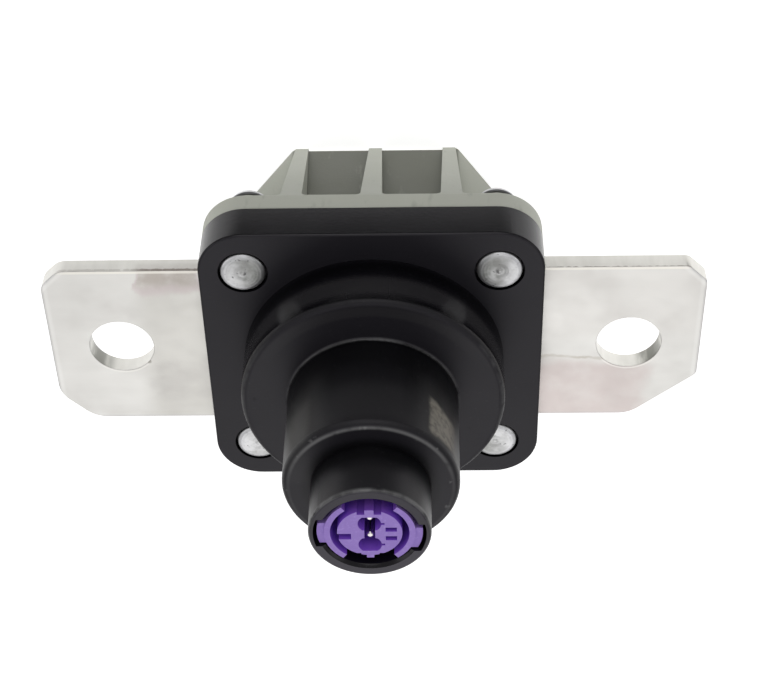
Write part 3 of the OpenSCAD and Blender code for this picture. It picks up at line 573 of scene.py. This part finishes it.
SHADED_GREY = (0.30, 0.31, 0.29)
FINE_GREY = (0.50, 0.50, 0.50)
UNDER_HEAD_SHADE_BLACK = (0.04, 0.04, 0.04)
PIT_GREY = (0.14, 0.14, 0.14)
aluminium = Finish("formed_aluminium", Metallic=1.0)
x, y, z = aluminium.place.axes()
off_x = abs(x) - RIVET_PITCH_X / 2
off_y = abs(y) - RIVET_PITCH_Y / 2
radius = (off_x**2 + off_y**2) ** 0.5
mottled = aluminium.place.noise(330, detail=4, shift=(0.45, 0.2, 0))
fine = aluminium.place.noise(1500, detail=3)
pits = aluminium.place.noise(1900, detail=1).rise(0.70, 0.76)
turned = (radius * TURNING_MARKS + 2 * mottled).math("SINE") * 0.5 + 0.5
shade = off_x.vector(off_y).noise(360, detail=3, shift=(0.5, 0, 0))
# A dark band on the factory heads next to the bosses: painted shade in the gap under them
under_head_shade = z.rise(BACK_HEAD_TOP - 0.0004, BACK_HEAD_TOP - 0.0002)
under_head_shade = under_head_shade * z.rise(BACK_HEAD_TOP + 0.0007, BACK_HEAD_TOP + 0.0005)
tone = mottled.rise(0.35, 0.65).mix(*ALUMINIUM_TONES)
# A dark patch on each head, off its centre: a painted reflection of something dark
tone = (0.6 * shade.rise(0.52, 0.62) * radius.rise(0.0004, 0.0009)).mix(tone, DARK_REFLECTION_GREY)
tone = (0.8 * radius.rise(0.0019, 0.0026)).mix(tone, RIM_SILVER)
# Each head is painted lighter on its outer side and darker on its inner side: painted light and shade
tone = (0.45 * off_x.rise(-0.0006, 0.0022)).mix(tone, LIT_SIDE_SILVER)
tone = (0.35 * off_x.rise(0.0002, -0.0018)).mix(tone, SHADED_GREY)
tone = (0.4 * fine.rise(0.5, 0.7)).mix(tone, FINE_GREY)
tone = (0.85 * under_head_shade).mix(tone, UNDER_HEAD_SHADE_BLACK)
aluminium.set("Base Color", (0.7 * pits).mix(tone, PIT_GREY))
aluminium.set("Roughness", 0.34 + 0.22 * mottled)
aluminium.set("Normal", (0.5 * mottled + 0.25 * fine + 0.1 * turned - 0.4 * pits).bump(0.00006))

spun = bmesh.new()
points = [spun.verts.new((r / 1000, 0, FACE_HEIGHT + height / 1000)) for r, height in RIVET_PROFILE]
edges = [spun.edges.new(pair) for pair in zip(points, points[1:])]
axis = (0, 0, 1)
bmesh.ops.spin(spun, geom=points + edges, axis=axis, cent=(0, 0, 0), angle=math.tau, steps=RIVET_STEPS)
bmesh.ops.remove_doubles(spun, verts=spun.verts, dist=SAME_POINT)
bmesh.ops.recalc_face_normals(spun, faces=spun.faces)
rivet_data = bpy.data.meshes.new("rivet")
spun.to_mesh(rivet_data)
spun.free()
rivet_data.shade_smooth()
rivet_data.set_sharp_from_angle(angle=RIVET_CREASE)
rivets = bpy.data.objects.new("rivets_finished", rivet_data)
bpy.context.scene.collection.objects.link(rivets)

corners_tree = bpy.data.node_groups.new("copies_at_four_corners", "GeometryNodeTree")
corners_tree.interface.new_socket("Piece", in_out="INPUT", socket_type="NodeSocketGeometry")
pitch_x = corners_tree.interface.new_socket("Pitch X", in_out="INPUT", socket_type="NodeSocketFloat")
pitch_y = corners_tree.interface.new_socket("Pitch Y", in_out="INPUT", socket_type="NodeSocketFloat")
finish_in = corners_tree.interface.new_socket("Finish", in_out="INPUT", socket_type="NodeSocketMaterial")
corners_tree.interface.new_socket("Pieces", in_out="OUTPUT", socket_type="NodeSocketGeometry")
given = corners_tree.nodes.new("NodeGroupInput")
places = corners_tree.nodes.new("GeometryNodeMeshGrid")
places.inputs["Vertices X"].default_value = 2
places.inputs["Vertices Y"].default_value = 2
turn = corners_tree.nodes.new("FunctionNodeRandomValue")
turn.data_type = "FLOAT_VECTOR"
turn.inputs["Seed"].default_value = 0
turn.inputs["Max"].default_value = (0, 0, math.tau)
copies = corners_tree.nodes.new("GeometryNodeInstanceOnPoints")
real = corners_tree.nodes.new("GeometryNodeRealizeInstances")
dressed = corners_tree.nodes.new("GeometryNodeSetMaterial")
result = corners_tree.nodes.new("NodeGroupOutput")
for source, target in (
    (given.outputs["Pitch X"], places.inputs["Size X"]),
    (given.outputs["Pitch Y"], places.inputs["Size Y"]),
    (places.outputs["Mesh"], copies.inputs["Points"]),
    (given.outputs["Piece"], copies.inputs["Instance"]),
    (turn.outputs["Value"], copies.inputs["Rotation"]),
    (copies.outputs["Instances"], real.inputs["Geometry"]),
    (real.outputs["Geometry"], dressed.inputs["Geometry"]),
    (given.outputs["Finish"], dressed.inputs["Material"]),
    (dressed.outputs["Geometry"], result.inputs["Pieces"]),
):
    corners_tree.links.new(source, target)
placing = rivets.modifiers.new("at the four corners", "NODES")
placing.node_group = corners_tree
placing[pitch_x.identifier] = RIVET_PITCH_X
placing[pitch_y.identifier] = RIVET_PITCH_Y
placing[finish_in.identifier] = aluminium.material
graph = bpy.context.evaluated_depsgraph_get()
four_rivets = bpy.data.meshes.new_from_object(rivets.evaluated_get(graph))
rivets.modifiers.clear()
rivets.data = four_rivets
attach(rivets, frame["nodes"]["rivets"]["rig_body"])
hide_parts("rivets")

# Contact pins: drawn nickel wire, flashed with gold and rubbed bright by plugs. The signal pin
# is fused into the igniter's glass seal and the return pin is welded to its header.
PIN_EDGE = 0.00004
PIN_TONES = (0.70, 0.67, 0.62), (0.85, 0.83, 0.79)
pin_metal = Finish("plated_pin", Metallic=1.0)
drawn = pin_metal.place.noise(2500, detail=3, stretch=(1, 1, 0.08))
pin_metal.set("Base Color", drawn.mix(*PIN_TONES))
pin_metal.set("Roughness", 0.16 + 0.14 * drawn)
pin_metal.set("Normal", drawn.bump(0.000004))
for pin in ("signal_pin", "return_pin"):
    softened(pin, PIN_EDGE, pin_metal)

# Shorting clip: a strip stamped from rolled spring bronze, with the rolling lines along it.
# It sits in the retainer and joins both pins while no plug is in.
CLIP_EDGE = 0.00003
BRONZES = (0.56, 0.42, 0.22), (0.72, 0.58, 0.36)
spring_metal = Finish("spring_bronze", Metallic=1.0)
rolled = spring_metal.place.noise(900, detail=4, stretch=(1, 1, 0.12))
spring_metal.set("Base Color", rolled.mix(*BRONZES))
spring_metal.set("Roughness", 0.26 + 0.2 * rolled)
spring_metal.set("Normal", rolled.bump(0.000004))
softened("shorting_clip", CLIP_EDGE, spring_metal)

# Igniter holder: black glass-filled plastic, moulded round the igniter and held in the bore by
# the lock ring. It is satin and finely grained.
HOLDER_EDGE = 0.0001
HOLDER_BLACKS = (0.016, 0.016, 0.018), (0.05, 0.05, 0.052)
holder_plastic = Finish("moulded_holder_plastic", Specular_IOR_Level=0.4)
fibres = holder_plastic.place.noise(800, detail=4, stretch=(1, 1, 0.3))
holder_plastic.set("Base Color", fibres.rise(0.5, 0.8).mix(*HOLDER_BLACKS))
holder_plastic.set("Roughness", 0.42 + 0.2 * fibres)
holder_plastic.set("Normal", fibres.bump(0.00002))
softened("igniter_holder", HOLDER_EDGE, holder_plastic)

# Turned and pressed steel: igniter header, lock ring and cutting die, with fine tool marks
# round the nose axis and a few oily patches.
STEEL_EDGE = 0.00007
TOOL_MARKS = 22000
STEEL_TONES = (0.46, 0.46, 0.47), (0.66, 0.66, 0.66)
turned_steel = Finish("turned_steel", Metallic=1.0)
x, y, _ = turned_steel.place.axes()
tool_marks = ((x**2 + y**2) ** 0.5 * TOOL_MARKS).math("SINE") * 0.5 + 0.5
tool_marks = tool_marks * turned_steel.place.noise(200, detail=2)
oil_and_sheen = turned_steel.place.noise(160, detail=4)
turned_steel.set("Base Color", oil_and_sheen.mix(*STEEL_TONES))
turned_steel.set("Roughness", 0.22 + 0.22 * oil_and_sheen)
turned_steel.set("Normal", tool_marks.bump(0.000006))
for part in ("igniter_header", "lock_ring", "cutting_die"):
    softened(part, STEEL_EDGE, turned_steel)

# Glass seal: a bead of sealing glass, fused between the signal pin and the header, with small
# bubbles under its skin.
GLASS_EDGE = 0.00003
GLASS_GREEN = (0.09, 0.21, 0.18)
BUBBLE_GREEN = (0.30, 0.46, 0.40)
seal_glass = Finish("fused_glass", Coat_Weight=0.6, Coat_Roughness=0.05)
bubbles = seal_glass.place.noise(3800, detail=1).rise(0.64, 0.72)
seal_glass.set("Base Color", bubbles.mix(GLASS_GREEN, BUBBLE_GREEN))
seal_glass.set("Roughness", 0.10 + 0.15 * bubbles)
seal_glass.set("Normal", bubbles.bump(0.00001))
softened("glass_seal", GLASS_EDGE, seal_glass)

# Charge can: a deep-drawn stainless cup, filled with the charge and pushed on the header's
# spigot, with draw lines up its wall.
CAN_EDGE = 0.00005
STAINLESS_TONES = (0.52, 0.51, 0.50), (0.72, 0.71, 0.70)
drawn_steel = Finish("drawn_stainless", Metallic=1.0)
draw_lines = drawn_steel.place.noise(1400, detail=4, stretch=(1, 1, 0.06))
drawn_steel.set("Base Color", draw_lines.mix(*STAINLESS_TONES))
drawn_steel.set("Roughness", 0.20 + 0.18 * draw_lines)
drawn_steel.set("Normal", draw_lines.bump(0.000008))
softened("charge_can", CAN_EDGE, drawn_steel)

# Charge: dark powder grains, pressed to a solid tablet that fills the can up to the spigot of
# the igniter's header.
CHARGE_EDGE = 0.00005
GRAIN_SCALE = 3600
POWDER_TONES = (0.05, 0.046, 0.04), (0.17, 0.16, 0.14)
pressed_charge = Finish("pressed_charge", Specular_IOR_Level=0.2)
sockets = {"Vector": pressed_charge.place, "Scale": GRAIN_SCALE}
grains = pressed_charge.place.node("ShaderNodeTexVoronoi", sockets=sockets)
pressed_charge.set("Base Color", grains.rise(0.1, 0.6).mix(*POWDER_TONES))
pressed_charge.set("Roughness", 0.75 + 0.2 * grains)
pressed_charge.set("Normal", grains.bump(0.00006))
softened("charge", CHARGE_EDGE, pressed_charge)

# Black rubber: the O-rings of the holder and the piston, and the stop pad on the chamber's
# floor. All are moulded, with a faint grey bloom.
RUBBER_EDGE = 0.00015
RUBBER_BLACKS = (0.012, 0.012, 0.012), (0.045, 0.045, 0.047)
black_rubber = Finish("black_rubber", Specular_IOR_Level=0.3)
bloom = black_rubber.place.noise(500, detail=4)
black_rubber.set("Base Color", bloom.rise(0.4, 0.75).mix(*RUBBER_BLACKS))
black_rubber.set("Roughness", 0.55 + 0.25 * bloom)
black_rubber.set("Normal", bloom.bump(0.00002))
for part in ("holder_o_ring", "piston_o_ring", "stop_pad"):
    softened(part, RUBBER_EDGE, black_rubber)

# Piston and punch guide: natural glass-filled nylon, moulded, ivory, with fibre streaks along
# the flow. The piston slides in the bore and its punch in the guide.
IVORY_EDGE = 0.0001
IVORIES = (0.62, 0.58, 0.45), (0.80, 0.77, 0.66)
piston_plastic = Finish("natural_nylon", Specular_IOR_Level=0.45)
flow = piston_plastic.place.noise(350, detail=5, stretch=(1, 1, 0.25))
piston_plastic.set("Base Color", flow.mix(*IVORIES))
piston_plastic.set("Roughness", 0.38 + 0.22 * flow)
piston_plastic.set("Normal", flow.bump(0.00002))
for part in ("piston", "punch_guide"):
    softened(part, IVORY_EDGE, piston_plastic)
